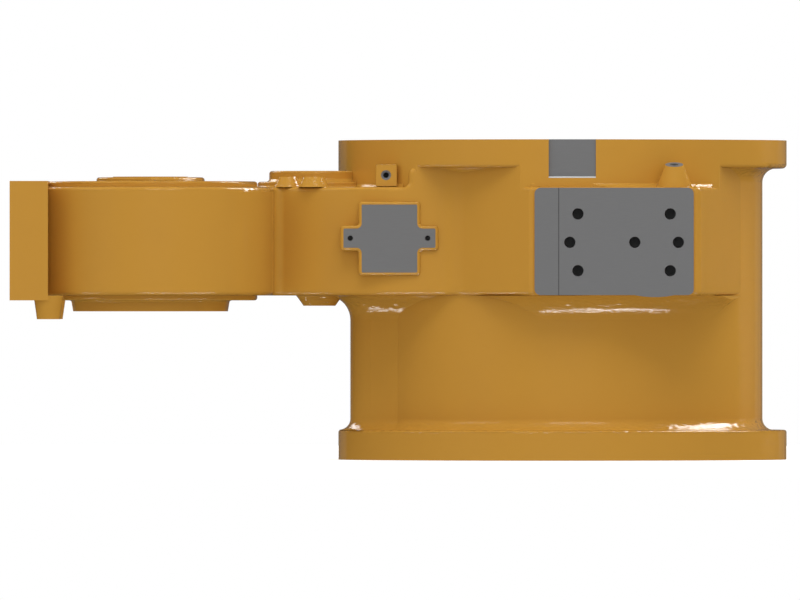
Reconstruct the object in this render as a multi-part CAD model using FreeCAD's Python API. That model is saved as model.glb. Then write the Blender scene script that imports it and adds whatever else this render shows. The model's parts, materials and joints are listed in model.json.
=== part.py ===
# Pump drive case: one iron casting. A bell with two bolted flanges carries the main drive gear, and a
# flat gear case runs out from its side to an idler and to the gear that turns the pump.
# Millimetres. The origin is the centre of the lower flange face, +Z is the shaft axis, and the arm
# runs to -X. The side with the two machined pads faces -Y.
import FreeCAD, Part
import math
import os

# Bell and flanges: a flange of 552.4 mm with a 511.2 mm pilot and 12 screws is the SAE No. 1 size. The upper
# flange takes the next housing by a smaller pilot and larger screws
HEIGHT = 393.0
FLANGE_R = 276.2
FLANGE_WIDE = 29.8
BELL_R = FLANGE_R - FLANGE_WIDE
LOWER_FLANGE_T = 36.5
UPPER_FLANGE_T = 34.5
LOWER_CORNER_R = 3.0
UPPER_CORNER_R = 5.5
LOWER_FILLET_R = 14.0
UPPER_FILLET_R = 17.0
WALL = 12.4
LOWER_PILOT_LAND = 20.6
LOWER_PILOT_R = FLANGE_R - LOWER_PILOT_LAND
UPPER_PILOT_LAND = 30.2
UPPER_PILOT_R = FLANGE_R - UPPER_PILOT_LAND
PILOT_DEPTH = 6.0
FLANGE_SCREWS = 12
FLANGE_TAP_DEPTH = 25.0
LOWER_SCREW_INSET = 11.1
LOWER_SCREW_R = FLANGE_R - LOWER_SCREW_INSET
LOWER_SCREW_DEG = 15.0
LOWER_TAP_R = 4.7
UPPER_SCREW_INSET = 18.2
UPPER_SCREW_R = FLANGE_R - UPPER_SCREW_INSET
UPPER_SCREW_DEG = 7.5
UPPER_TAP_R = 5.1

# Gear case: one outline between two flat sides. Heights on it are measured from these two sides
GEAR_DOWN = 58.0
GEAR_TALL = 133.0
GEAR_TOP = HEIGHT - GEAR_DOWN
GEAR_UNDER = GEAR_TOP - GEAR_TALL
GEAR_EDGE_R = 6.0
PUMP_X = -506.4
PUMP_Y = -148.0
PUMP_DRUM_R = 152.2
IDLER_WALL_X = -176.0
IDLER_WALL_R = 270.0
ARM_FRONT_Y = -209.5
VALLEY_R = 8.0
TANGENT_SINK = 4.0
CHAMBER_MOUTH_X = -100.0

# Block at the front of the bell, which carries the large machined pad
BLOCK_PROUD = 3.8
BLOCK_Y = -(FLANGE_R + BLOCK_PROUD)
BLOCK_LEFT_X = -41.5
BLOCK_RIGHT_X = 166.0
BLOCK_LEFT_DEG = 37.0
BLOCK_INNER_R = 50.0
BLOCK_LEFT_R = 8.0
BLOCK_RIGHT_R = 10.0

# Oil sump on the left of the bell, under the arm
SUMP_PROUD = 15.0
SUMP_X = -(BELL_R + SUMP_PROUD)
SUMP_CORNER_R = 71.5
SUMP_CORNER_Y = 90.6
SUMP_DEG = 40.0
SUMP_END_X = -150.0
SUMP_FLOOR = 20.0

# Large hollow fillets under the arm and under the block
UNDERCUT_R = 30.0
ARM_FLARE_X = -71.0
ARM_FLARE_R = 71.0
BLOCK_FLARE_FROM_DEG = -5.0
BLOCK_FLARE_TO_DEG = 47.0
BLOCK_FLARE_LEFT_R = 77.0
BLOCK_FLARE_RIGHT_R = 66.0

# Cover flange at the outer end of the arm
END_LEFT_X = -677.3
END_RIGHT_X = -630.5
END_HALF_Y = 143.0
END_DROP = 6.0
END_RISE = 7.0
END_UNDER = GEAR_UNDER - END_DROP
END_TOP = GEAR_TOP + END_RISE
PORT_HALF_Y = 74.0
PORT_R = 20.0
COVER_TAP_R = 5.1
COVER_TAP_DEPTH = 24.0
COVER_TAP_INSET = 17.0
FOOT_X = -630.0
FOOT_TOP_R = 18.4
FOOT_LOW_R = 14.2
FOOT_DROP = 29.0
FOOT_LOW = GEAR_UNDER - FOOT_DROP
FOOT_TAP_R = 5.1
FOOT_TAP_DEPTH = 22.0

# Pump axis: pump pad below, bearing boss above
STEP_R = 131.0
PUMP_PAD_TOP_R = 98.2
PUMP_PAD_R = 95.0
PUMP_PAD_DROP = 19.4
PUMP_PAD_Z = GEAR_UNDER - PUMP_PAD_DROP
PUMP_PILOT_R = 63.5
PUMP_SCREW_R = 80.95
PUMP_SCREWS = 4
PUMP_SCREW_DEG = 45.0
PUMP_TAP_R = 7.0
PUMP_TAP_DEPTH = 26.0
BEARING_BOSS_R = 66.3
BEARING_BOSS_RISE = 12.0
BEARING_BOSS_TOP = GEAR_TOP + BEARING_BOSS_RISE
BEARING_FACE_R = 46.0
BEARING_FACE_RISE = 0.8
BEARING_R = 36.0
BEARING_DEPTH = 14.0
BEARING_BORE_R = 26.0
BOSS_EDGE_R = 3.5
STEP_FOOT_R = 2.0
BEARING_FOOT_R = 1.0
PUMP_FOOT_R = 3.0

# Idler axis, behind the line between the two gears, so that its gear clears the valley in the wall
IDLER_X = -299.5
IDLER_Y = -50.0
IDLER_STEP_R = 76.0
IDLER_PAD_R = 61.7
IDLER_PAD_RISE = 20.2
IDLER_PAD_TOP = GEAR_TOP + IDLER_PAD_RISE
IDLER_PAD_FOOT_R = 4.0
IDLER_BORE_R = 20.0
IDLER_TAP_R = 4.2
IDLER_TAP_CIRCLE_R = 38.0
IDLER_TAPS = 3
IDLER_TAP_DEG = 90.0
IDLER_TAP_DEPTH = 16.0
IDLER_SEAT_R = 14.0
IDLER_SEAT_DROP = 5.0
IDLER_SEAT_Z = GEAR_UNDER - IDLER_SEAT_DROP
IDLER_FOOT_R = 19.6
IDLER_FOOT_TOP_R = 29.1
IDLER_FOOT_DROP = 12.6
IDLER_FOOT_Z = GEAR_UNDER - IDLER_FOOT_DROP
LEDGE_BOSS_RISE = 12.6
LEDGE_BOSS_TOP = GEAR_TOP + LEDGE_BOSS_RISE
LEDGE_BOSSES = [(-338.0, -139.0, 17.0, 10.5), (-306.0, -163.0, 19.0, 12.7)]
LEDGE_TAP_R = 4.2
LEDGE_TAP_DEPTH = 18.0

# Large machined pad on the block
PAD_RISE = 3.0
PAD_Y = BLOCK_Y - PAD_RISE
PAD_LEFT_X = -35.8
PAD_RIGHT_X = 158.6
PAD_MARGIN_UNDER = 0.5
PAD_MARGIN_TOP = 1.3
PAD_LOW_Z = GEAR_UNDER + PAD_MARGIN_UNDER
PAD_TOP_Z = GEAR_TOP - PAD_MARGIN_TOP
PAD_CORNER_R = 7.4
PAD_STEP_X = -6.3
PAD_STEP_DEPTH = 0.4
PAD_HOLES_X = 73.6
PAD_HOLES_UP = 65.0
PAD_HOLES_Z = GEAR_UNDER + PAD_HOLES_UP
PAD_HOLES_WIDE = 112.8
PAD_HOLES_TALL = 69.4
PAD_SIDE_WIDE = 132.6
PAD_MIDDLE_X = 13.1
PAD_TAP_R = 7.0
PAD_TAP_DEPTH = 28.0
PAD_SWELL_X = 111.0
PAD_SWELL_R = 121.0
PAD_SWELL_DROP = 2.0
PAD_SWELL_LOW_Z = GEAR_UNDER - PAD_SWELL_DROP

# Small machined pad on the arm, with two ears
SMALL_RISE = 4.2
SMALL_Y = ARM_FRONT_Y - SMALL_RISE
SMALL_X = -213.2
SMALL_HALF_X = 33.7
SMALL_DOWN = 21.9
SMALL_TALL = 82.7
SMALL_TOP_Z = GEAR_TOP - SMALL_DOWN
SMALL_LOW_Z = SMALL_TOP_Z - SMALL_TALL
EAR_HALF_X = 56.0
EAR_DOWN = 51.3
EAR_TALL = 23.0
EAR_TOP_Z = GEAR_TOP - EAR_DOWN
EAR_LOW_Z = EAR_TOP_Z - EAR_TALL
SMALL_HOLE_X = -213.8
SMALL_HOLE_Z = EAR_TOP_Z - EAR_TALL / 2
SMALL_HOLES_WIDE = 94.8
SMALL_TAP_R = 3.3
SMALL_TAP_DEPTH = 12.0
SMALL_CORNER_R = 5.0
SMALL_INNER_R = 2.5
SMALL_EDGE_R = 4.2

# Features on the rim of the upper flange. Between its two shoulders the wall of the gear case rises to the rim
RIM_FOOT_R = 4.5
SHOULDER_LEFT_X = -189.7
SHOULDER_RIGHT_X = -52.0
SHOULDER_TOP_R = 8.0
SHOULDER_FOOT_R = 7.0
LUG_LEFT_X = -230.0
LUG_RIGHT_X = -204.0
LUG_RISE = 28.0
LUG_LOW_Z = GEAR_TOP + 0.5
LUG_TOP_Z = GEAR_TOP + LUG_RISE
LUG_BACK = 12.5
LUG_Y = ARM_FRONT_Y + LUG_BACK
LUG_EDGE_R = 2.5
LUG_HOLE_X = -217.4
LUG_HOLE_UP = 14.5
LUG_HOLE_Z = GEAR_TOP + LUG_HOLE_UP
LUG_TAP_R = 3.4
LUG_TAP_DEPTH = 22.0
LUG_SINK_R = 5.9
FLAT_LEFT_X = -18.5
FLAT_RIGHT_X = 39.1
FLAT_RISE = 11.7
FLAT_LOW_Z = GEAR_TOP + FLAT_RISE
FLAT_DEPTH = 4.2
FLAT_Y = -(FLANGE_R - FLAT_DEPTH)
PORT_BOSS_X = 135.0
PORT_BOSS_LOW_R = 22.0
PORT_BOSS_Y = BLOCK_Y + PORT_BOSS_LOW_R
PORT_BOSS_TOP_R = 11.0
PORT_BOSS_RISE = 28.0
PORT_BOSS_TOP = GEAR_TOP + PORT_BOSS_RISE
PORT_BOSS_DEG = 14.0
PORT_BOSS_TAP_R = 5.1
PORT_BOSS_TAP_DEPTH = 30.0

# Web between the bell and the gear chamber, with the main bearing
HUB_R = 98.0
HUB_DROP = 24.0
HUB_LOW = GEAR_UNDER - HUB_DROP
HUB_BORE_R = 72.0
HUB_RIBS = 8
RIB_T = 11.0
RIB_DROP = 46.0


def point(x, y, z=0.0):
    return FreeCAD.Vector(x, y, z)


def polar(radius, degrees):
    """A point at this angle from -Y, turning towards +X."""
    turn = math.radians(degrees)
    return point(radius * math.sin(turn), -radius * math.cos(turn))


def line(a, b):
    return Part.LineSegment(a, b).toShape()


def arc(a, middle, b):
    return Part.Arc(a, middle, b).toShape()


def arc_about(centre, a, b, towards):
    """The arc from a to b about the centre, on the side that faces the given direction."""
    radius = (a - centre).Length
    side = point(towards.x, towards.y, towards.z).normalize()
    return arc(a, centre + side * radius, b)


def rounded(corners, closed=True):
    """Edges along corners of (x, y, radius), with each corner rounded by its radius."""
    count = len(corners)
    places = [point(x, y) for x, y, radius in corners]
    starts = list(places)
    ends = list(places)
    bends = [None] * count
    for i, (x, y, radius) in enumerate(corners):
        if radius <= 0 or (not closed and i in (0, count - 1)):
            continue
        back = (places[i - 1] - places[i]).normalize()
        ahead = (places[(i + 1) % count] - places[i]).normalize()
        half = back.getAngle(ahead) / 2
        starts[i] = places[i] + back * (radius / math.tan(half))
        ends[i] = places[i] + ahead * (radius / math.tan(half))
        inward = (back + ahead).normalize()
        middle = places[i] + inward * (radius / math.sin(half) - radius)
        bends[i] = arc(starts[i], middle, ends[i])
    edges = []
    for i in range(count):
        if bends[i]:
            edges.append(bends[i])
        if closed or i < count - 1:
            edges.append(line(ends[i], starts[(i + 1) % count]))
    return edges


def prism(edges, low, high):
    """A solid between two heights, from edges that close an outline."""
    face = Part.Face(Part.Wire(Part.__sortEdges__(edges)))
    solid = face.extrude(point(0, 0, high - low))
    solid.translate(point(0, 0, low))
    return solid


def disc(x, y, radius, low, high):
    return Part.makeCylinder(radius, high - low, point(x, y, low))


def frustum(x, y, low_radius, high_radius, low, high):
    return Part.makeCone(low_radius, high_radius, high - low, point(x, y, low))


def hollow_foot(x, y, radius, seat, foot_r, up=True):
    """A ring with a hollow rounding, which blends an upright round wall into the flat side it stands on."""
    away = foot_r if up else -foot_r
    sink = away * 0.2
    top = seat + away
    bend = math.sqrt(0.5)
    edges = [
        line(point(radius - abs(sink), seat - sink), point(radius + foot_r, seat - sink)),
        line(point(radius + foot_r, seat - sink), point(radius + foot_r, seat)),
        arc(
            point(radius + foot_r, seat),
            point(radius + foot_r * (1 - bend), seat + away * (1 - bend)),
            point(radius, top),
        ),
        line(point(radius, top), point(radius - abs(sink), top)),
        line(point(radius - abs(sink), top), point(radius - abs(sink), seat - sink)),
    ]
    ring = spun(edges)
    ring.translate(point(x, y))
    return ring


def spun(edges):
    """A solid of revolution about Z, from an outline drawn in radius and height."""
    face = Part.Face(Part.Wire(Part.__sortEdges__(edges)))
    face.rotate(point(0, 0, 0), point(1, 0, 0), 90)
    return face.revolve(point(0, 0, 0), point(0, 0, 1), 360)


def front_box(x0, x1, z0, z1, back, face, corner_r):
    """A block that faces -Y, with its four corners rounded."""
    edges = rounded([(x0, z0, corner_r), (x1, z0, corner_r), (x1, z1, corner_r), (x0, z1, corner_r)])
    return stand_up(edges, back, face)


def stand_up(edges, back, face):
    """A solid from an outline drawn in X and Z, between two places on Y."""
    solid = prism(edges, -back, -face)
    solid.rotate(point(0, 0, 0), point(1, 0, 0), 90)
    return solid


def edges_at(solid, height):
    """The edges that lie wholly at one height."""
    found = []
    for edge in solid.Edges:
        box = edge.BoundBox
        if abs(box.ZMin - height) < 0.01 and abs(box.ZMax - height) < 0.01:
            found.append(edge)
    return found


def upright_edge(solid, x, y):
    """The upright edge nearest to a place in the plan."""
    uprights = [e for e in solid.Edges if e.BoundBox.ZLength > 1 and e.BoundBox.XLength < 0.01]
    return min(uprights, key=lambda e: math.hypot(e.BoundBox.XMin - x, e.BoundBox.YMin - y))


def bell():
    """The solid outside of the bell and its flanges."""
    lower = LOWER_FLANGE_T
    upper = HEIGHT - UPPER_FLANGE_T
    outline = rounded(
        [
            (0, 0, 0),
            (FLANGE_R, 0, 0),
            (FLANGE_R, lower, LOWER_CORNER_R),
            (BELL_R, lower, LOWER_FILLET_R),
            (BELL_R, upper, UPPER_FILLET_R),
            (FLANGE_R, upper, UPPER_CORNER_R),
            (FLANGE_R, HEIGHT, 0),
            (0, HEIGHT, 0),
        ]
    )
    return spun(outline)


def tangent(a, a_radius, b, b_radius):
    """The ends of the line that touches two circles on the left of the way from a to b."""
    ahead = (b - a).normalize()
    lean = (a_radius - b_radius) / (b - a).Length
    out = ahead * lean + point(-ahead.y, ahead.x) * math.sqrt(1 - lean * lean)
    return a + out * a_radius, b + out * b_radius


def gear_wall(inset):
    """The wall of the gear case from the rear of the bell round the arm to its front, set in by a wall."""
    pump = point(PUMP_X, PUMP_Y)
    drum_r = PUMP_DRUM_R - inset
    drum_end, bell_end = tangent(pump, drum_r, point(0, 0), BELL_R - TANGENT_SINK - inset)
    hub = point(IDLER_WALL_X, ARM_FRONT_Y + IDLER_WALL_R)
    valley = front_crossing(pump, drum_r, hub, IDLER_WALL_R - inset)
    front = point(IDLER_WALL_X, ARM_FRONT_Y + inset)
    edges = [
        line(bell_end, drum_end),
        arc_about(pump, drum_end, valley, point(-1, -1)),
        arc_about(hub, valley, front, (valley + front) * 0.5 - hub),
    ]
    return edges, bell_end, valley, front


def front_crossing(centre, radius, other, other_radius):
    """Where two circles cross, at the crossing that is nearer the front."""
    gap = (other - centre).Length
    along = (radius**2 - other_radius**2 + gap**2) / (2 * gap)
    across = math.sqrt(radius**2 - along**2)
    ahead = (other - centre).normalize()
    side = point(ahead.y, -ahead.x)
    return centre + ahead * along + side * across


def gear_plan(low, high):
    """The gear case outline between two heights, with the valley beside the pump drum rounded."""
    edges, bell_end, valley, front = gear_wall(0)
    rise = ARM_FRONT_Y - BLOCK_Y
    inner_x = BLOCK_LEFT_X - rise / math.tan(math.radians(BLOCK_LEFT_DEG))
    corner = point(BLOCK_RIGHT_X, BLOCK_Y)
    reach = BELL_R - TANGENT_SINK
    corner_deg = math.degrees(math.atan2(corner.x, -corner.y) + math.acos(reach / corner.Length))
    wall_end = polar(reach, corner_deg)
    edges += rounded(
        [
            (front.x, front.y, 0),
            (inner_x, ARM_FRONT_Y, BLOCK_INNER_R),
            (BLOCK_LEFT_X, BLOCK_Y, BLOCK_LEFT_R),
            (BLOCK_RIGHT_X, BLOCK_Y, BLOCK_RIGHT_R),
            (wall_end.x, wall_end.y, 0),
        ],
        closed=False,
    )
    edges.append(line(wall_end, bell_end))
    solid = prism(edges, low, high)
    return solid.makeFillet(VALLEY_R, [upright_edge(solid, valley.x, valley.y)])


def outer_edges(solid, height):
    """The edges of one flat side, without the closing edge that lies inside the bell."""
    inside = BELL_R / 2
    return [e for e in edges_at(solid, height) if math.hypot(e.CenterOfMass.x, e.CenterOfMass.y) > inside]


def gear_case():
    """The gear case with its edges rounded, and with the wall that rises to the rim between two shoulders."""
    solid = gear_plan(GEAR_UNDER, GEAR_TOP)
    raised = solid.fuse(rim_shoulders()).removeSplitter().Solids[0]
    edges = outer_edges(raised, GEAR_UNDER) + wall_edges(raised)
    return raised.makeFillet(GEAR_EDGE_R, edges)


def rim_shoulders():
    """The raised stretch of the wall, with a hollow foot and a round shoulder at each end."""
    high = HEIGHT - UPPER_FLANGE_T
    low = GEAR_TOP - GEAR_EDGE_R
    foot = SHOULDER_FOOT_R * 1.5
    left = SHOULDER_LEFT_X
    right = SHOULDER_RIGHT_X
    outline = rounded(
        [
            (left - foot, low, 0),
            (right + foot, low, 0),
            (right + foot, GEAR_TOP, 0),
            (right, GEAR_TOP, SHOULDER_FOOT_R),
            (right, high, SHOULDER_TOP_R),
            (left, high, SHOULDER_TOP_R),
            (left, GEAR_TOP, SHOULDER_FOOT_R),
            (left - foot, GEAR_TOP, 0),
        ]
    )
    return stand_up(outline, ARM_FRONT_Y / 2, BLOCK_Y - 1).common(gear_plan(low, high))


def wall_edges(raised):
    """The upper edges of the outer wall, which climb the shoulders on the way."""
    sides = [f for f in gear_plan(GEAR_UNDER, HEIGHT).Faces if f.BoundBox.ZLength > HEIGHT - GEAR_UNDER - 1]
    inside = BELL_R / 2
    walls = Part.Compound([f for f in sides if math.hypot(f.CenterOfMass.x, f.CenterOfMass.y) > inside])
    found = []
    for edge in raised.Edges:
        ends = [vertex.Point for vertex in edge.Vertexes]
        places = ends + [edge.valueAt((edge.FirstParameter + edge.LastParameter) / 2)]
        upper = min(place.z for place in places) > GEAR_TOP - 0.01
        if upper and all(walls.distToShape(Part.Vertex(place))[0] < 0.01 for place in places):
            found.append(edge)
    return found


def rim_fill():
    """The rim of the upper flange, carried down to the gear case wherever the case lies under it."""
    low = GEAR_TOP - GEAR_EDGE_R - 1
    high = HEIGHT - UPPER_FLANGE_T + UPPER_CORNER_R + 1
    return gear_plan(low, high).common(disc(0, 0, FLANGE_R, low, high))


def rim_foot(case):
    """The hollow rounding between the rim and the flat top of the gear case."""
    tops = [f for f in case.Faces if f.BoundBox.ZMin > GEAR_TOP - 0.01]
    ledge = max(tops, key=lambda f: f.Area).extrude(point(0, 0, RIM_FOOT_R + 1))
    ledge.translate(point(0, 0, -1))
    return hollow_foot(0, 0, FLANGE_R, GEAR_TOP, RIM_FOOT_R).common(ledge)


def sump_corners(inset, end_x, end_r):
    """A flat back, two large corners and two faces that run in under the bell as far as end_x."""
    back = SUMP_X + inset
    radius = SUMP_CORNER_R - inset
    turn = math.radians(90 - SUMP_DEG)
    corner_y = SUMP_CORNER_Y - inset * math.tan(turn / 2)
    end_y = corner_y + (end_x - back) * math.tan(math.radians(SUMP_DEG))
    return [
        (back, corner_y, radius),
        (back, -corner_y, radius),
        (end_x, -end_y, end_r),
        (end_x, end_y, end_r),
    ]


def flare(edges, seat, radius, up):
    """A post on this outline whose foot spreads in a hollow fillet to a flat side at the seat."""
    away = 1 if up else -1
    tall = seat + away * (radius + 1)
    plate = seat - away * 2
    wide = FLANGE_R * 2
    post = prism(edges, min(seat, tall), max(seat, tall))
    solid = post.fuse(disc(0, 0, wide, min(seat, plate), max(seat, plate)))
    foot = [e for e in edges_at(solid, seat) if max(abs(e.BoundBox.XMin), abs(e.BoundBox.XMax)) < wide - 1]
    solid = solid.makeFillet(radius, foot)
    return solid.common(disc(0, 0, wide, min(seat, tall), max(seat, tall)))


def arm_flare():
    """The hollow fillet under the arm. It runs out at the front, where the arm meets the bell."""
    edges = rounded(sump_corners(0, ARM_FLARE_X, ARM_FLARE_R))
    solid = flare(edges, GEAR_UNDER, UNDERCUT_R, up=False)
    return solid.common(gear_plan(GEAR_UNDER - UNDERCUT_R - 1, GEAR_UNDER))


def block_flare():
    """The hollow fillet under the block, which follows the bell and runs out at both ends."""
    left = polar(BELL_R - BLOCK_FLARE_LEFT_R, BLOCK_FLARE_FROM_DEG)
    right = polar(BELL_R - BLOCK_FLARE_RIGHT_R, BLOCK_FLARE_TO_DEG)
    left_end, right_end = tangent(left, BLOCK_FLARE_LEFT_R, right, BLOCK_FLARE_RIGHT_R)
    start = polar(BELL_R, BLOCK_FLARE_FROM_DEG)
    stop = polar(BELL_R, BLOCK_FLARE_TO_DEG)
    edges = [
        arc(start, polar(BELL_R, (BLOCK_FLARE_FROM_DEG + BLOCK_FLARE_TO_DEG) / 2), stop),
        arc_about(right, stop, right_end, point(1, 0)),
        line(right_end, left_end),
        arc_about(left, left_end, start, point(-1, 0)),
    ]
    solid = flare(edges, GEAR_UNDER, UNDERCUT_R, up=False)
    return solid.common(gear_plan(GEAR_UNDER - UNDERCUT_R - 1, GEAR_UNDER))


def sump():
    """The sump wall, with a hollow fillet on to the lower flange."""
    edges = rounded(sump_corners(0, SUMP_END_X, 0))
    wall = prism(edges, LOWER_FLANGE_T / 2, GEAR_UNDER + GEAR_EDGE_R)
    foot_edges = rounded(sump_corners(0, ARM_FLARE_X, ARM_FLARE_R))
    foot = flare(foot_edges, LOWER_FLANGE_T, LOWER_FILLET_R, up=True)
    return wall.fuse(foot.common(disc(0, 0, FLANGE_R, LOWER_FLANGE_T, HEIGHT)))


def topped(solid, height, radius):
    """A boss with its edge at this height rounded."""
    return solid.makeFillet(radius, edges_at(solid, height))


def pump_end():
    """What stands on the gear case round the pump axis, and the cover flange at the end of the arm."""
    step = disc(PUMP_X, PUMP_Y, STEP_R, END_UNDER, END_TOP)
    step = step.makeFillet(BOSS_EDGE_R, edges_at(step, END_UNDER) + edges_at(step, END_TOP))
    pad = frustum(PUMP_X, PUMP_Y, PUMP_PAD_R, PUMP_PAD_TOP_R, PUMP_PAD_Z, GEAR_UNDER)
    boss = disc(PUMP_X, PUMP_Y, BEARING_BOSS_R, GEAR_TOP, BEARING_BOSS_TOP)
    boss = topped(boss, BEARING_BOSS_TOP, BOSS_EDGE_R)
    face = disc(PUMP_X, PUMP_Y, BEARING_FACE_R, GEAR_TOP, BEARING_BOSS_TOP + BEARING_FACE_RISE)
    thick = END_RIGHT_X - END_LEFT_X
    corner = point(END_LEFT_X, PUMP_Y - END_HALF_Y, END_UNDER)
    plate = Part.makeBox(thick, 2 * END_HALF_Y, END_TOP - END_UNDER, corner)
    feet = [frustum(FOOT_X, y, FOOT_LOW_R, FOOT_TOP_R, FOOT_LOW, GEAR_UNDER) for y in foot_places()]
    taper = (PUMP_PAD_TOP_R - PUMP_PAD_R) / PUMP_PAD_DROP
    pad_r = PUMP_PAD_R + taper * (END_UNDER - PUMP_FOOT_R - PUMP_PAD_Z)
    roundings = [
        hollow_foot(PUMP_X, PUMP_Y, BEARING_BOSS_R, END_TOP, BEARING_FOOT_R),
        hollow_foot(PUMP_X, PUMP_Y, pad_r, END_UNDER, PUMP_FOOT_R, up=False),
    ]
    return [step, pad, boss, face, plate] + feet + roundings


def foot_places():
    """The tapped feet stand at the two lower corners of the cover flange."""
    reach = END_HALF_Y - FOOT_TOP_R
    return [PUMP_Y - reach, PUMP_Y + reach]


def idler_bosses():
    """The pad, the steps and the bolt bosses round the idler shaft."""
    step = topped(disc(IDLER_X, IDLER_Y, IDLER_STEP_R, GEAR_TOP - 1, END_TOP), END_TOP, BOSS_EDGE_R)
    pad = topped(disc(IDLER_X, IDLER_Y, IDLER_PAD_R, GEAR_TOP, IDLER_PAD_TOP), IDLER_PAD_TOP, BOSS_EDGE_R)
    foot = frustum(IDLER_X, IDLER_Y, IDLER_FOOT_R, IDLER_FOOT_TOP_R, IDLER_FOOT_Z, GEAR_UNDER + 0.5)
    bolts = [frustum(x, y, low_r, top_r, GEAR_TOP, LEDGE_BOSS_TOP) for x, y, low_r, top_r in LEDGE_BOSSES]
    roundings = [
        hollow_foot(IDLER_X, IDLER_Y, IDLER_STEP_R, GEAR_TOP, STEP_FOOT_R),
        hollow_foot(IDLER_X, IDLER_Y, IDLER_PAD_R, END_TOP, IDLER_PAD_FOOT_R),
    ]
    return [step, pad, foot] + bolts + roundings


def large_pad():
    """The raised pad on the block. Its lower edge swells round a screw boss."""
    back = BLOCK_Y + 2 * BLOCK_RIGHT_R
    pad = front_box(PAD_LEFT_X, PAD_RIGHT_X, PAD_LOW_Z, PAD_TOP_Z, back, PAD_Y, PAD_CORNER_R)
    middle = point(PAD_SWELL_X, PAD_Y, PAD_SWELL_LOW_Z + PAD_SWELL_R)
    swell = Part.makeCylinder(PAD_SWELL_R, back - PAD_Y, middle, point(0, 1, 0))
    keep_top = PAD_LOW_Z + PAD_CORNER_R
    keep = front_box(PAD_LEFT_X, PAD_RIGHT_X, PAD_SWELL_LOW_Z - 1, keep_top, back, PAD_Y, 0)
    return pad.fuse(swell.common(keep))


def small_pad():
    """The raised pad with two ears. Its flat face starts where the edge rounding ends."""
    grow = SMALL_EDGE_R
    side = [
        (SMALL_HALF_X + grow, SMALL_LOW_Z - grow, SMALL_CORNER_R),
        (SMALL_HALF_X + grow, EAR_LOW_Z - grow, SMALL_INNER_R),
        (EAR_HALF_X + grow, EAR_LOW_Z - grow, SMALL_CORNER_R),
        (EAR_HALF_X + grow, EAR_TOP_Z + grow, SMALL_CORNER_R),
        (SMALL_HALF_X + grow, EAR_TOP_Z + grow, SMALL_INNER_R),
        (SMALL_HALF_X + grow, SMALL_TOP_Z + grow, SMALL_CORNER_R),
    ]
    right = [(SMALL_X + x, z, r) for x, z, r in side]
    left = [(SMALL_X - x, z, r) for x, z, r in reversed(side)]
    pad = stand_up(rounded(right + left), ARM_FRONT_Y + WALL * 1.5, SMALL_Y)
    rim = [e for e in pad.Edges if abs(e.BoundBox.YMin - SMALL_Y) < 0.01 and e.BoundBox.YLength < 0.01]
    return pad.makeFillet(SMALL_EDGE_R, rim)


def rim_lug():
    """The small square lug with a tapped hole, in the corner of the rim and the arm."""
    lug = front_box(LUG_LEFT_X, LUG_RIGHT_X, LUG_LOW_Z, LUG_TOP_Z, ARM_FRONT_Y / 2, LUG_Y, LUG_EDGE_R)
    face = [e for e in lug.Edges if abs(e.BoundBox.YMin - LUG_Y) < 0.01 and e.BoundBox.YLength < 0.01]
    return lug.makeFillet(LUG_EDGE_R / 2, face)


def leaned(solid):
    """Leans the port boss towards the front."""
    solid.rotate(point(PORT_BOSS_X, PORT_BOSS_Y, GEAR_TOP), point(1, 0, 0), PORT_BOSS_DEG)
    return solid


def port_boss():
    rise = PORT_BOSS_TOP - GEAR_TOP
    boss = frustum(PORT_BOSS_X, PORT_BOSS_Y, PORT_BOSS_LOW_R, PORT_BOSS_TOP_R, GEAR_TOP, PORT_BOSS_TOP)
    skirt = disc(PORT_BOSS_X, PORT_BOSS_Y, PORT_BOSS_LOW_R, GEAR_TOP - rise / 2, GEAR_TOP)
    return leaned(boss.fuse(skirt))


def web_metal():
    """The hub of the main bearing and the ribs that carry it, under the web."""
    hub = disc(0, 0, HUB_R, HUB_LOW, GEAR_UNDER + WALL)
    ribs = []
    reach = BELL_R - WALL / 2 - HUB_BORE_R
    for i in range(HUB_RIBS):
        rib = Part.makeBox(reach, RIB_T, RIB_DROP, point(HUB_BORE_R, -RIB_T / 2, GEAR_UNDER - RIB_DROP))
        rib.rotate(point(0, 0, 0), point(0, 0, 1), 360.0 * (i + 0.5) / HUB_RIBS)
        ribs.append(rib)
    return [hub] + ribs


def hollows():
    """The space inside: the bell below the web, and the gear chamber that runs out along the arm."""
    inner_r = BELL_R - WALL
    floor = GEAR_UNDER + WALL
    roof = GEAR_TOP - WALL
    lower = disc(0, 0, inner_r, -1, GEAR_UNDER)
    upper = disc(0, 0, inner_r, floor, HEIGHT + 1)
    pocket = prism(rounded(sump_corners(WALL, SUMP_END_X, 0)), SUMP_FLOOR, GEAR_UNDER)
    edges, bell_end, valley, front = gear_wall(WALL)
    mouth = point(CHAMBER_MOUTH_X, front.y)
    edges += [line(front, mouth), line(mouth, bell_end)]
    chamber = prism(edges, floor, roof)
    corner = point(END_LEFT_X - 1, PUMP_Y - PORT_HALF_Y, floor)
    port = Part.makeBox(PUMP_X - END_LEFT_X + 1, 2 * PORT_HALF_Y, roof - floor, corner)
    port = port.makeFillet(PORT_R, [e for e in port.Edges if e.BoundBox.XLength > PORT_R])
    return [lower.fuse(pocket), upper, chamber, port]


def ring_of_holes(x, y, circle_r, count, hole_r, low, high, first_deg):
    """Holes on a circle, parallel to Z."""
    holes = []
    for i in range(count):
        turn = math.radians(first_deg + 360.0 * i / count)
        holes.append(disc(x + circle_r * math.cos(turn), y + circle_r * math.sin(turn), hole_r, low, high))
    return holes


def front_hole(x, z, radius, face, depth):
    """A round hole into a face that looks to -Y."""
    return Part.makeCylinder(radius, depth + 1, point(x, face - 1, z), point(0, 1, 0))


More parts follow.
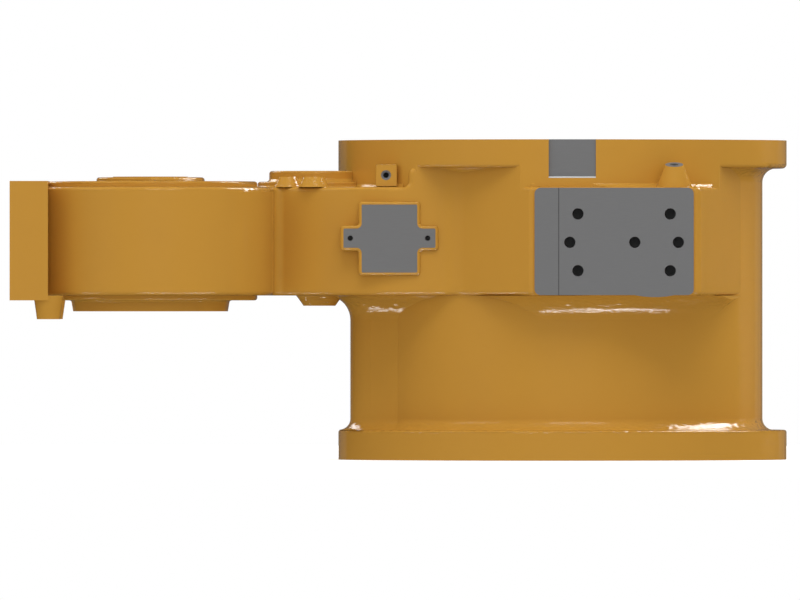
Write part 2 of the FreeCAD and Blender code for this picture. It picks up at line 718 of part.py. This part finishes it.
def flange_holes():
    holes = [
        disc(0, 0, LOWER_PILOT_R, -1, PILOT_DEPTH),
        disc(0, 0, UPPER_PILOT_R, HEIGHT - PILOT_DEPTH, HEIGHT + 1),
        disc(0, 0, HUB_BORE_R, HUB_LOW - 1, GEAR_UNDER + WALL + 1),
    ]
    lower = (LOWER_TAP_R, -1, FLANGE_TAP_DEPTH, LOWER_SCREW_DEG)
    upper = (UPPER_TAP_R, HEIGHT - FLANGE_TAP_DEPTH, HEIGHT + 1, UPPER_SCREW_DEG)
    holes += ring_of_holes(0, 0, LOWER_SCREW_R, FLANGE_SCREWS, *lower)
    return holes + ring_of_holes(0, 0, UPPER_SCREW_R, FLANGE_SCREWS, *upper)


def shaft_holes():
    """Bores and tapped holes that are parallel to the shafts, out along the arm."""
    roof = GEAR_TOP - WALL
    holes = [
        disc(PUMP_X, PUMP_Y, PUMP_PILOT_R, PUMP_PAD_Z - 1, GEAR_UNDER + WALL + 1),
        disc(PUMP_X, PUMP_Y, BEARING_R, roof - 1, roof + BEARING_DEPTH),
        disc(PUMP_X, PUMP_Y, BEARING_BORE_R, roof, BEARING_BOSS_TOP + 2),
        disc(IDLER_X, IDLER_Y, IDLER_BORE_R, roof - 1, IDLER_PAD_TOP + 1),
        disc(IDLER_X, IDLER_Y, IDLER_SEAT_R, IDLER_SEAT_Z, GEAR_UNDER + WALL + 1),
    ]
    low = PUMP_PAD_Z - 1
    high = PUMP_PAD_Z + PUMP_TAP_DEPTH
    holes += ring_of_holes(
        PUMP_X, PUMP_Y, PUMP_SCREW_R, PUMP_SCREWS, PUMP_TAP_R, low, high, PUMP_SCREW_DEG
    )
    tap_floor = IDLER_PAD_TOP - IDLER_TAP_DEPTH
    holes += ring_of_holes(
        IDLER_X, IDLER_Y, IDLER_TAP_CIRCLE_R, IDLER_TAPS, IDLER_TAP_R, tap_floor, IDLER_PAD_TOP + 1,
        IDLER_TAP_DEG
    )
    ledge_floor = LEDGE_BOSS_TOP - LEDGE_TAP_DEPTH
    for x, y, low_r, top_r in LEDGE_BOSSES:
        holes.append(disc(x, y, LEDGE_TAP_R, ledge_floor, LEDGE_BOSS_TOP + 1))
    holes += [disc(FOOT_X, y, FOOT_TAP_R, FOOT_LOW - 1, FOOT_LOW + FOOT_TAP_DEPTH) for y in foot_places()]
    return holes


def front_holes():
    """The tapped holes of the two machined pads and the lug, and the machined flat and step."""
    places = [(PAD_HOLES_X + PAD_MIDDLE_X, PAD_HOLES_Z)]
    holes = []
    for side in (-1, 1):
        for level in (-1, 1):
            up = level * PAD_HOLES_TALL / 2
            places.append((PAD_HOLES_X + side * PAD_HOLES_WIDE / 2, PAD_HOLES_Z + up))
        places.append((PAD_HOLES_X + side * PAD_SIDE_WIDE / 2, PAD_HOLES_Z))
        x = SMALL_HOLE_X + side * SMALL_HOLES_WIDE / 2
        holes.append(front_hole(x, SMALL_HOLE_Z, SMALL_TAP_R, SMALL_Y, SMALL_TAP_DEPTH))
    for x, z in places:
        holes.append(front_hole(x, z, PAD_TAP_R, PAD_Y, PAD_TAP_DEPTH))
    holes.append(front_hole(LUG_HOLE_X, LUG_HOLE_Z, LUG_TAP_R, LUG_Y, LUG_TAP_DEPTH))
    sink = LUG_SINK_R - LUG_TAP_R
    mouth = point(LUG_HOLE_X, LUG_Y, LUG_HOLE_Z)
    holes.append(Part.makeCone(LUG_SINK_R, LUG_TAP_R, sink, mouth, point(0, 1, 0)))
    step_low = PAD_SWELL_LOW_Z - 1
    step_back = PAD_Y + PAD_STEP_DEPTH
    step = front_box(PAD_LEFT_X - 1, PAD_STEP_X, step_low, PAD_TOP_Z + 1, step_back, PAD_Y - 1, 0)
    flat = front_box(FLAT_LEFT_X, FLAT_RIGHT_X, FLAT_LOW_Z, HEIGHT + 1, FLAT_Y, -FLANGE_R - 1, 0)
    tap_floor = PORT_BOSS_TOP - PORT_BOSS_TAP_DEPTH
    tap = disc(PORT_BOSS_X, PORT_BOSS_Y, PORT_BOSS_TAP_R, tap_floor, PORT_BOSS_TOP + 1)
    return holes + [step, flat, leaned(tap)]


def cover_holes():
    """Tapped holes in the end of the arm, three up each side of the port."""
    width = END_HALF_Y - COVER_TAP_INSET
    middle = (END_UNDER + END_TOP) / 2
    height = (END_TOP - END_UNDER) / 2 - COVER_TAP_INSET
    holes = []
    for across in (-1, 1):
        for up in (-1, 0, 1):
            start = point(END_LEFT_X - 1, PUMP_Y + across * width, middle + up * height)
            holes.append(Part.makeCylinder(COVER_TAP_R, COVER_TAP_DEPTH + 1, start, point(1, 0, 0)))
    return holes


def drive_case():
    gears = gear_case()
    metal = [gears, rim_fill(), rim_foot(gears), arm_flare(), block_flare(), sump()]
    metal += [large_pad(), small_pad(), rim_lug(), port_boss()]
    outside = bell().fuse(metal + pump_end() + idler_bosses())
    inside = outside.cut(hollows())
    ribs = [m.common(disc(0, 0, BELL_R - WALL / 2, 0, HEIGHT)) for m in web_metal()]
    filled = inside.fuse(ribs)
    holes = flange_holes() + shaft_holes() + front_holes() + cover_holes()
    return filled.cut(holes).removeSplitter()


os.makedirs("parts", exist_ok=True)
case = drive_case()
print("drive_case", case.isValid(), len(case.Solids), round(case.Volume / 1e6, 3), case.BoundBox)
case.Solids[0].exportStep("parts/drive_case.step")
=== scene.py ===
# %% [markdown]
# # Pump drive case, painted and machined
# The part is one iron casting, so this lesson models very little and spends its time on finish. The solid
# comes from the CAD frame with every wall, pad and hole in place. What is left is the gloss paint over a
# cast skin, the bare faces that a cutter has been over, and the threads that a tap leaves in the holes.
# All of it has to line up with the solid, so places are read from the frame's own record of mounts.

# %% Load the frame
import json
import math

import bmesh
import bpy
from mathutils import Matrix, Vector


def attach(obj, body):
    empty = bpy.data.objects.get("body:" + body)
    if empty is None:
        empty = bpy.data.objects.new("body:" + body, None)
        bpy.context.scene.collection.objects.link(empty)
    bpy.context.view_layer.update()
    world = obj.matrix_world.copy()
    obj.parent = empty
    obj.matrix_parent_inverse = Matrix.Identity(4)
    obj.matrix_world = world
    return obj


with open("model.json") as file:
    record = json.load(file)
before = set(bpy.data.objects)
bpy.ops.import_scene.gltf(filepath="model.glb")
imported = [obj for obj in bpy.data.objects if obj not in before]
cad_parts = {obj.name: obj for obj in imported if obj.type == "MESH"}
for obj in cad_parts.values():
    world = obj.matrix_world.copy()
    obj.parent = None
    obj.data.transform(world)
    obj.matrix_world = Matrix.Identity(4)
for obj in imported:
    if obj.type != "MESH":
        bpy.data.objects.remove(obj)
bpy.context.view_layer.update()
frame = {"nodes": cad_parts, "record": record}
case = frame["nodes"]["drive_case"]
mounts = {mount["name"]: mount for mount in frame["record"]["mounts"]}
MM = 0.001

# %% [markdown]
# ## The camera
# The photograph is square to the side and shows almost no perspective: both flanges end in straight lines.
# A parallel camera could do that, but a very long lens far away looks the same and still frames the whole
# case when it is moved round it. The picture's scale is known at the shaft axis, so the distance follows
# from the lens, and the point that the picture is centred on gives the place.

# %% Camera
IMAGE_WIDE = 800
SCALE = 1.2326 * MM
CENTRE_X = -0.2003
CENTRE_Z = 0.1965
LENS = 1200.0
SENSOR = 36.0

distance = SCALE * IMAGE_WIDE * LENS / SENSOR
camera_data = bpy.data.cameras.new("camera")
camera_data.sensor_width = SENSOR
camera_data.lens = LENS
camera_data.clip_end = distance * 2
camera = bpy.data.objects.new("camera", camera_data)
camera.location = (CENTRE_X, -distance, CENTRE_Z)
camera.rotation_euler = (math.pi / 2, 0, 0)
bpy.context.collection.objects.link(camera)
bpy.context.scene.camera = camera
print("camera", round(distance, 2), "m away")

# %% [markdown]
# ## Shader maths as Python
# The finish of this case depends on where a point is: the same casting is paint here and bare iron there.
# That takes a good many Math nodes, and wiring them by hand hides the idea. One small class wraps a socket,
# so that `depth * 2 + 1` adds its nodes by itself, and one method adds any other node.


# %% The socket class
class Wire:
    """A shader socket that can be used in sums."""

    def __init__(self, shop, socket):
        self.shop = shop
        self.socket = socket

    def maths(self, operation, *others):
        return self.shop.node("ShaderNodeMath", {"operation": operation}, *[self, *others])

    def __add__(self, other):
        return self.maths("ADD", other)

    def __sub__(self, other):
        return self.maths("SUBTRACT", other)

    def __mul__(self, other):
        return self.maths("MULTIPLY", other)

    def __rsub__(self, other):
        return self.shop.node("ShaderNodeMath", {"operation": "SUBTRACT"}, other, self)

    __radd__ = __add__
    __rmul__ = __mul__

    def over(self, limit):
        return self.maths("GREATER_THAN", limit)

    def under(self, limit):
        return self.maths("LESS_THAN", limit)

    def near(self, value, slack):
        return self.maths("COMPARE", value, slack)

    def within(self, low, high):
        return self.over(low) * self.under(high)

    def either(self, other):
        return self.maths("MAXIMUM", other)


class Workshop:
    """Adds the nodes of one material."""

    def __init__(self, name):
        self.material = bpy.data.materials.new(name)
        self.material.use_nodes = True
        self.tree = self.material.node_tree
        self.shader = self.tree.nodes["Principled BSDF"]

    def node(self, kind, settings, *inputs, output=0, **named):
        """Adds a node with its settings first, then feeds its sockets by order or by name."""
        made = self.tree.nodes.new(kind)
        for key, value in settings.items():
            setattr(made, key, value)
        sockets = list(zip(made.inputs, inputs))
        sockets += [(made.inputs[key.replace("_", " ")], value) for key, value in named.items()]
        for socket, value in sockets:
            self.feed(socket, value)
        return Wire(self, made.outputs[output])

    def feed(self, socket, value):
        if isinstance(value, Wire):
            self.tree.links.new(value.socket, socket)
        else:
            socket.default_value = value

    def finish(self, **named):
        """Feeds the shader's own sockets."""
        for key, value in named.items():
            self.feed(self.shader.inputs[key.replace("_", " ")], value)
        print("finish", self.material.name, "has", len(self.tree.nodes), "nodes")
        return self.material

    def blend(self, amount, first, second):
        """Mixes two colours."""
        made = self.node("ShaderNodeMix", {"data_type": "RGBA"}, output=2)
        mix = made.socket.node
        self.feed(mix.inputs["Factor"], amount)
        self.feed(mix.inputs[6], first)
        self.feed(mix.inputs[7], second)
        return made

    def axes(self, vector):
        """Splits a vector into its three parts."""
        split = self.node("ShaderNodeSeparateXYZ", {}, vector)
        parts = split.socket.node.outputs
        return [Wire(self, socket) for socket in parts]


# %% [markdown]
# ## Which faces are machined
# On the real case the cutter leaves bare iron exactly where a face lies in its plane, and paint everywhere
# else. Slots on the mesh could say the same, but the solid's mesh stays untouched here, and a plane is a
# plane: a point belongs to a milled face if it lies in the plane and its normal does too. The levels come
# from the mounts. Round bores are found by their distance from the axis.

# %% Planes and bores from the mounts
FLAT_ENOUGH = 0.995
UPRIGHT_ENOUGH = 1 - FLAT_ENOUGH + 0.1
PLANE_SLACK = 0.25 * MM
BORE_SLACK = 0.45 * MM
PAD_STEP = 0.4 * MM
PAD_STEP_X = -6.3 * MM
FLAT_LEFT_X = -18.5 * MM
FLAT_RIGHT_X = 39.1 * MM
FLAT_LOW_Z = 346.7 * MM
FLAT_Y = -272.0 * MM
LUG_SINK_R = 6.1 * MM
LUG_SINK_PROUD = 4 * MM
LUG_SINK_DEEP = 2 * MM
PORT_FACE_R = 12 * MM
SEATS_Z = ("pump_pilot", "bearing_bore", "idler_bore", "foot_screws", "ledge_screw_left")
BORES = (
    "lower_pilot", "upper_pilot", "main_bearing", "pump_pilot", "bearing_seat", "bearing_bore", "idler_bore",
)
PILOT_DEPTH = mounts["lower_pilot"]["dims"]["length_mm"] * MM
HEIGHT = mounts["upper_pilot"]["pos_m"][2]


def seat(name, axis):
    """How far along an axis a mount's face lies."""
    return mounts[name]["pos_m"][axis]


levels_z = [0.0, PILOT_DEPTH, HEIGHT - PILOT_DEPTH, HEIGHT]
levels_z += [seat(name, 2) for name in SEATS_Z]
pad_y = seat("pad_middle_screw", 1)
levels_y = [pad_y, pad_y + PAD_STEP, seat("small_pad_screws", 1), FLAT_Y]
levels_x = [seat("cover_corner_screws", 0)]
print("machined levels in Z", [round(z, 4) for z in levels_z])


def machined(shop, place, normal):
    """One where the cutter has been, and zero on paint."""
    x, y, z = place
    mask = None
    for along, facing, levels in ((x, 0, levels_x), (y, 1, levels_y), (z, 2, levels_z)):
        square = normal[facing].maths("ABSOLUTE").over(FLAT_ENOUGH)
        here = None
        for level in levels:
            hit = along.near(level, PLANE_SLACK)
            here = hit if here is None else here.either(hit)
        mask = here * square if mask is None else mask.either(here * square)
    upright = normal[2].maths("ABSOLUTE").under(UPRIGHT_ENOUGH)
    for name in BORES:
        mask = mask.either(bore_wall(shop, place, mounts[name]) * upright)
    return mask.either(port_face(shop, place)).either(lug_sink(shop, place))


def bore_wall(shop, place, mount):
    """One on the wall of an upright bore."""
    x, y, z = place
    px, py, pz = mount["pos_m"]
    length = mount["dims"]["length_mm"] * MM * mount["axis"][2]
    flat = shop.node("ShaderNodeCombineXYZ", {}, x - px, y - py, 0.0)
    reach = shop.node("ShaderNodeVectorMath", {"operation": "LENGTH"}, flat, output=1)
    low, high = sorted((pz, pz - length))
    return reach.near(mount["dims"]["r_mm"] * MM, BORE_SLACK) * z.within(low - MM, high + MM)


def lug_sink(shop, place):
    """One in the countersink of the square lug."""
    x, y, z = place
    px, py, pz = mounts["lug_screw"]["pos_m"]
    flat = shop.node("ShaderNodeCombineXYZ", {}, x - px, z - pz, 0.0)
    reach = shop.node("ShaderNodeVectorMath", {"operation": "LENGTH"}, flat, output=1)
    return reach.under(LUG_SINK_R) * y.within(py - LUG_SINK_PROUD, py + LUG_SINK_DEEP)


def port_face(shop, place):
    """One on the leaning top of the port boss."""
    port = mounts["port"]
    middle = Vector(port["pos_m"])
    axis = Vector(port["axis"])
    here = shop.node("ShaderNodeCombineXYZ", {}, *place)
    product = {"operation": "DOT_PRODUCT"}
    along = shop.node("ShaderNodeVectorMath", product, here, tuple(axis), output=1)
    distance_to = {"operation": "DISTANCE"}
    gap = shop.node("ShaderNodeVectorMath", distance_to, here, tuple(middle), output=1)
    return along.near(axis.dot(middle), PLANE_SLACK) * gap.under(PORT_FACE_R)


# %% [markdown]
# ## Paint and bare iron in one material
# The enamel is a thick spray over cast iron: an even mustard yellow with a hard gloss, slightly uneven
# because the sand mould is. Three scales of bump give the surface. Slow swells come from the casting, and a
# fine skin comes from the spray. The third, a short ripple, belongs to the hollow corners, which are dressed
# by hand before painting: there the gloss breaks up into small sparks, while the walls stay calm. How far
# the normal leans tells the two apart. It counts for nothing on upright walls and on level faces, and for
# most halfway between. The milled faces are grey, half bright, and carry the rows that a face mill leaves.
# A thin dark line of painted shade marks the pad's step, and a pale band of painted highlight runs under the
# flat on the rim.

# %% The casting's material
PAINT = (0.604, 0.303, 0.045)
PAINT_DEEP = (0.579, 0.286, 0.042)
IRON = (0.182, 0.182, 0.183)
IRON_BRIGHT = (0.208, 0.208, 0.210)
# Painted shade: a thin dark line on the pad along its small step.
STEP_SHADE = (0.07, 0.07, 0.072)
# Painted highlight: a pale band along the lower edge of the flat on the rim.
FLAT_EDGE_HIGHLIGHT = (0.75, 0.75, 0.74)
PAINT_ROUGH = 0.12
PAINT_ROUGH_SPAN = 0.05
IRON_ROUGH = 0.48
IRON_ROUGH_SPAN = 0.08
IRON_METAL = 0.1
COAT = 0.2
SWELL_RISE = 0.8
RIPPLE_RISE = 1.5
SKIN_RISE = 0.012
MILL_RISE = 0.004
PAD_REGION_Y = -0.2825
STEP_SHADE_HALF = 0.45 * MM
FLAT_EDGE_HIGHLIGHT_HALF = 0.9 * MM


def casting_finish():
    shop = Workshop("enamel_on_iron")
    seen = shop.node("ShaderNodeTexCoord", {}).socket.node
    spot = Wire(shop, seen.outputs["Object"])
    place = shop.axes(spot)
    normal = shop.axes(Wire(shop, seen.outputs["Normal"]))
    bare = machined(shop, place, normal)

    swell = shop.node("ShaderNodeTexNoise", {}, spot, Scale=9.0, Detail=2.0, Roughness=0.45)
    drawn_out = shop.node("ShaderNodeMapping", {}, spot, Scale=(95.0, 95.0, 250.0))
    ripple = shop.node("ShaderNodeTexNoise", {}, drawn_out, Scale=1.0, Detail=1.0, Roughness=0.5)
    skin = shop.node("ShaderNodeTexNoise", {}, spot, Scale=420.0, Detail=2.0, Roughness=0.5)
    cloud = shop.node("ShaderNodeTexNoise", {}, spot, Scale=22.0, Detail=4.0, Roughness=0.6)
    paint = shop.blend(cloud, (*PAINT, 1), (*PAINT_DEEP, 1))

    rows = shop.node("ShaderNodeMapping", {}, spot, Scale=(60.0, 60.0, 1400.0))
    mill = shop.node("ShaderNodeTexNoise", {}, rows, Scale=1.0, Detail=3.0, Roughness=0.6)
    iron = shop.blend(mill, (*IRON, 1), (*IRON_BRIGHT, 1))

    x, y, z = place
    pad = y.under(PAD_REGION_Y)
    # A thin dark line of painted shade where the pad's step lies.
    step_shade = x.near(PAD_STEP_X, STEP_SHADE_HALF) * pad
    # A pale band of painted highlight under the flat on the rim, also taken as bare iron.
    edge_highlight_band = z.near(FLAT_LOW_Z, FLAT_EDGE_HIGHLIGHT_HALF) * x.within(FLAT_LEFT_X, FLAT_RIGHT_X) * y.under(FLAT_Y + MM)
    iron = shop.blend(step_shade, iron, (*STEP_SHADE, 1))
    iron = shop.blend(edge_highlight_band, iron, (*FLAT_EDGE_HIGHLIGHT, 1))
    bare = bare.either(edge_highlight_band)

    upward = normal[2] * normal[2]
    hollow = upward * (1 - upward) * 4.0
    cast = swell * SWELL_RISE + ripple * hollow * RIPPLE_RISE + skin * SKIN_RISE
    relief = cast * (1 - bare) + mill * bare * MILL_RISE
    bump = shop.node("ShaderNodeBump", {}, Strength=1.0, Distance=MM, Height=relief)
    paint_rough = PAINT_ROUGH + cloud * PAINT_ROUGH_SPAN
    iron_rough = IRON_ROUGH + mill * IRON_ROUGH_SPAN
    return shop.finish(
        Base_Color=shop.blend(bare, paint, iron),
        Roughness=(1 - bare) * paint_rough + bare * iron_rough,
        Metallic=bare * IRON_METAL,
        Coat_Weight=(1 - bare) * COAT,
        Coat_Roughness=0.06,
        Coat_IOR=1.5,
        IOR=1.45,
        Specular_IOR_Level=0.4,
        Normal=bump,
    )


case.data.materials.clear()
case.data.materials.append(casting_finish())

# %% [markdown]
# ## Threads
# Every tapped hole on the solid is a plain bore at the size of its drill. A real one shows the dark spiral
# of its thread. A bump could fake it, but the big holes face the viewer, so it is worth real geometry: one
# pitch of the profile is spun down the hole by a pitch a turn, and the ends are cut flush.

# %% One thread
TURN_STEPS = 24
THREAD_CLEAR = 0.05 * MM
THREAD_SHARE = 0.055
CREST_FROM = 0.42
CREST_TO = 0.58


def thread_mesh(radius, length, pitch):
    """A threaded lining for a hole that opens upwards at the origin and runs down -Z."""
    work = bmesh.new()
    root = radius - THREAD_CLEAR
    crest = radius * (1 - THREAD_SHARE)
    turns = math.ceil(length / pitch) + 2
    profile = [(root, 0.0), (crest, CREST_FROM), (crest, CREST_TO), (root, 1.0)]
    verts = [work.verts.new((r, 0, (share + 1) * pitch)) for r, share in profile]
    edges = [work.edges.new(pair) for pair in zip(verts, verts[1:])]
    steps = turns * TURN_STEPS
    bmesh.ops.spin(
        work, geom=verts + edges, cent=(0, 0, 0), axis=(0, 0, 1), angle=math.tau * turns, steps=steps,
        dvec=(0, 0, -pitch / TURN_STEPS), use_merge=False, use_duplicate=False,
    )
    bmesh.ops.remove_doubles(work, verts=work.verts, dist=THREAD_CLEAR / 2)
    for height, outwards in ((0.0, (0, 0, 1)), (-length, (0, 0, -1))):
        everything = work.verts[:] + work.edges[:] + work.faces[:]
        bmesh.ops.bisect_plane(
            work, geom=everything, plane_co=(0, 0, height), plane_no=outwards, clear_outer=True
        )
    floor = bmesh.ops.create_circle(work, cap_ends=True, segments=TURN_STEPS, radius=root)
    bmesh.ops.translate(work, verts=floor["verts"], vec=(0, 0, THREAD_CLEAR - length))
    return work


def lining(name, radius, length, pitch, mouths):
    """Joins one lining for each mouth, given as a place and the way out of the hole."""
    work = thread_mesh(radius * MM, length * MM, pitch * MM)
    single = bpy.data.meshes.new(name + "_single")
    work.to_mesh(single)
    work.free()
    joined = bmesh.new()
    for place, way_out in mouths:
        before = len(joined.verts)
        joined.from_mesh(single)
        turn = Vector((0, 0, 1)).rotation_difference(Vector(way_out)).to_matrix().to_4x4()
        joined.verts.ensure_lookup_table()
        bmesh.ops.transform(joined, matrix=Matrix.Translation(place) @ turn, verts=joined.verts[before:])
    mesh = bpy.data.meshes.new(name)
    joined.to_mesh(mesh)
    joined.free()
    bpy.data.meshes.remove(single)
    piece = bpy.data.objects.new(name, mesh)
    bpy.context.collection.objects.link(piece)
    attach(piece, "root")
    print(name, len(mouths), "holes", len(mesh.polygons), "faces")
    return piece


# %% [markdown]
# ## Where the tapped holes are
# The frame's record says where each pattern's middle is and how far apart its holes are, so the linings
# can't drift from the drilled holes.

# %% Mouths of the holes
def grid_mouths(name):
    """The mouths of a pattern in rows, or of a single hole."""
    mount = mounts[name]
    middle = Vector(mount["pos_m"])
    normal = Vector(mount["axis"])
    across = [axis for axis in range(3) if abs(normal[axis]) < 0.5]
    spacings = [mount["dims"].get(key, 0) * MM / 2 for key in ("spacing_x_mm", "spacing_y_mm")]
    signs = [(-1, 1) if spacing else (0,) for spacing in spacings]
    mouths = []
    for first in signs[0]:
        for second in signs[1]:
            place = middle.copy()
            place[across[0]] += first * spacings[0]
            place[across[1]] += second * spacings[1]
            mouths.append((place, normal))
    return mouths


def ring_mouths(name, first_deg):
    """The mouths of a pattern on a circle."""
    mount = mounts[name]
    middle = Vector(mount["pos_m"])
    radius = mount["dims"]["pcd_mm"] * MM / 2
    count = mount["dims"]["count"]
    mouths = []
    for i in range(count):
        turn = math.radians(first_deg) + math.tau * i / count
        place = middle + Vector((radius * math.cos(turn), radius * math.sin(turn), 0))
        mouths.append((place, Vector(mount["axis"])))
    return mouths


# %% The finish inside a tapped hole
TAPPED_DARK = (0.16, 0.16, 0.165)
TAPPED_LIGHT = (0.24, 0.24, 0.245)
TAPPED_ROUGH = 0.35
TAPPED_ROUGH_SPAN = 0.2
TAPPED_METAL = 0.2


def steel_finish():
    """The dark inside of a tapped hole, with a trace of cutting oil."""
    shop = Workshop("tapped_iron")
    seen = shop.node("ShaderNodeTexCoord", {}).socket.node
    spot = Wire(shop, seen.outputs["Object"])
    grain = shop.node("ShaderNodeTexNoise", {}, spot, Scale=900.0, Detail=3.0)
    colour = shop.blend(grain, (*TAPPED_DARK, 1), (*TAPPED_LIGHT, 1))
    rough = TAPPED_ROUGH + grain * TAPPED_ROUGH_SPAN
    return shop.finish(Base_Color=colour, Roughness=rough, Metallic=TAPPED_METAL)


# %% Make the linings
tapped = steel_finish()
pad_mouths = grid_mouths("pad_corner_screws") + grid_mouths("pad_side_screws") + grid_mouths("pad_middle_screw")
cover_mouths = grid_mouths("cover_corner_screws") + grid_mouths("cover_side_screws")
ledge_mouths = grid_mouths("ledge_screw_left") + grid_mouths("ledge_screw_right")
LININGS = [
    ("pad_threads", 7.0, 27.0, 2.0, pad_mouths),
    ("small_pad_threads", 3.3, 12.0, 1.0, grid_mouths("small_pad_screws")),
    ("lug_thread", 3.4, 19.5, 1.25, grid_mouths("lug_screw")),
    ("pump_threads", 7.0, 26.0, 2.0, ring_mouths("pump_screws", 45.0)),
    ("idler_threads", 4.2, 16.0, 1.5, ring_mouths("idler_screws", 90.0)),
    ("lower_flange_threads", 4.7, 25.0, 1.5, ring_mouths("lower_screws", 15.0)),
    ("upper_flange_threads", 5.1, 25.0, 1.75, ring_mouths("upper_screws", 7.5)),
    ("cover_threads", 5.1, 24.0, 1.75, cover_mouths),
    ("foot_threads", 5.1, 22.0, 1.75, grid_mouths("foot_screws")),
    ("port_thread", 5.1, 29.0, 1.5, grid_mouths("port")),
    ("ledge_threads", 4.2, 18.0, 1.5, ledge_mouths),
]
for name, radius, length, pitch, mouths in LININGS:
    piece = lining(name, radius, length, pitch, mouths)
    piece.data.materials.append(tapped)

# %% [markdown]
# ## Light and floor
# The photograph is a studio picture on pure white, and its paint keeps a deep colour right up to small hot
# glints. One kind of lamp can't give both: a panel that is large enough to light the walls evenly lays a
# pale veil of reflection over them. So the work is split. The soft panels only light the paint, and the
# hard ones are only seen in its gloss. Each hard panel stands where the photograph puts a glint: over the
# right shoulder, in front above, and low in front for the sparks in the hollow corners under the block.
# A wide dim panel behind keeps the outline from turning black, since gloss mirrors most at its edge.

# %% Lights
AIM = (CENTRE_X, 0.0, CENTRE_Z)
SOFT = {
    "front": ((0.0, -5.0, 1.0), (3.0, 2.4)),
    "front_left": ((-3.8, -3.4, 1.0), (2.2, 2.4)),
    "right_back": ((3.6, 3.8, 1.0), (2.4, 2.4)),
    "left_top": ((-3.4, 2.6, 3.0), (2.0, 2.0)),
    "top": ((0.0, 0.0, 4.5), (3.0, 2.4)),
    "top_front": ((0.3, -2.4, 4.2), (3.0, 2.0)),
}
SHINE = {
    "glint_right": ((3.0, 1.85, 3.3), (2.2, 2.2)),
    "glint_left": ((-2.2, 3.5, 2.3), (1.4, 1.4)),
    "glint_front": ((0.6, -3.6, 3.4), (2.4, 1.0)),
    "glint_front_left": ((-3.8, -2.0, 3.2), (3.0, 0.8)),
    "glint_low": ((1.2, -2.9, -3.3), (6.4, 0.5)),
    "glint_low_left": ((-3.9, -0.9, -2.9), (3.0, 0.5)),
    "edge_back": ((0.0, 6.5, 1.5), (9.0, 7.0)),
}
BRIGHT = {
    "front": 0.64, "front_left": 0.52, "right_back": 11.5, "left_top": 4.5, "top": 0.5, "top_front": 4.4,
    "surround": 0.63,
    "glint_right": 13.0, "glint_left": 4.0, "glint_front": 4.0, "glint_front_left": 2.0,
    "glint_low": 22.0, "glint_low_left": 12.0, "edge_back": 0.1,
}


def panel(name, place, size, soft, bright):
    """A panel turned to the case. A soft one lights it, and a hard one only shines in it."""
    data = bpy.data.lights.new(name, "AREA")
    data.shape = "RECTANGLE"
    data.size, data.size_y = size
    data.energy = bright * size[0] * size[1] * math.pi
    light = bpy.data.objects.new(name, data)
    light.location = place
    light.rotation_euler = (Vector(AIM) - Vector(place)).to_track_quat("-Z", "Y").to_euler()
    light.visible_camera = False
    light.visible_glossy = not soft
    light.visible_diffuse = soft
    bpy.context.collection.objects.link(light)


for table in (SOFT, SHINE):
    for name, (place, size) in table.items():
        panel(name, place, size, table is SOFT, BRIGHT[name])


def surround():
    """White to look at, an even soft light to stand in, and nothing in the enamel."""
    world = bpy.data.worlds.new("surround")
    world.use_nodes = True
    world.cycles_visibility.glossy = False
    tree = world.node_tree
    soft = tree.nodes["Background"]
    soft.inputs["Color"].default_value = (1, 1, 1, 1)
    path = tree.nodes.new("ShaderNodeLightPath")
    strength = tree.nodes.new("ShaderNodeMix")
    strength.inputs["A"].default_value = BRIGHT["surround"]
    strength.inputs["B"].default_value = 1.0
    tree.links.new(path.outputs["Is Camera Ray"], strength.inputs["Factor"])
    tree.links.new(strength.outputs["Result"], soft.inputs["Strength"])
    bpy.context.scene.world = world


surround()
bpy.context.scene.view_settings.view_transform = "Standard"
print("light", len(SOFT), "soft and", len(SHINE), "hard panels")

# %% Floor
FLOOR_R = 3.2
FLOOR_DROP = 0.3 * MM
FLOOR_GLOW = 0.6
FLOOR_WHITE = (0.9, 0.9, 0.9)
FLOOR_ROUGH = 0.6


def floor_piece():
    work = bmesh.new()
    bmesh.ops.create_circle(work, cap_ends=True, segments=96, radius=FLOOR_R)
    bmesh.ops.translate(work, verts=work.verts, vec=(CENTRE_X, 0, -FLOOR_DROP))
    mesh = bpy.data.meshes.new("floor")
    work.to_mesh(mesh)
    work.free()
    piece = bpy.data.objects.new("floor", mesh)
    bpy.context.collection.objects.link(piece)
    shop = Workshop("white_floor")
    white = shop.finish(
        Base_Color=(*FLOOR_WHITE, 1), Roughness=FLOOR_ROUGH,
        Emission_Color=(1, 1, 1, 1), Emission_Strength=FLOOR_GLOW,
    )
    mesh.materials.append(white)
    piece.visible_diffuse = False
    piece.visible_glossy = False
    piece.visible_shadow = False


floor_piece()
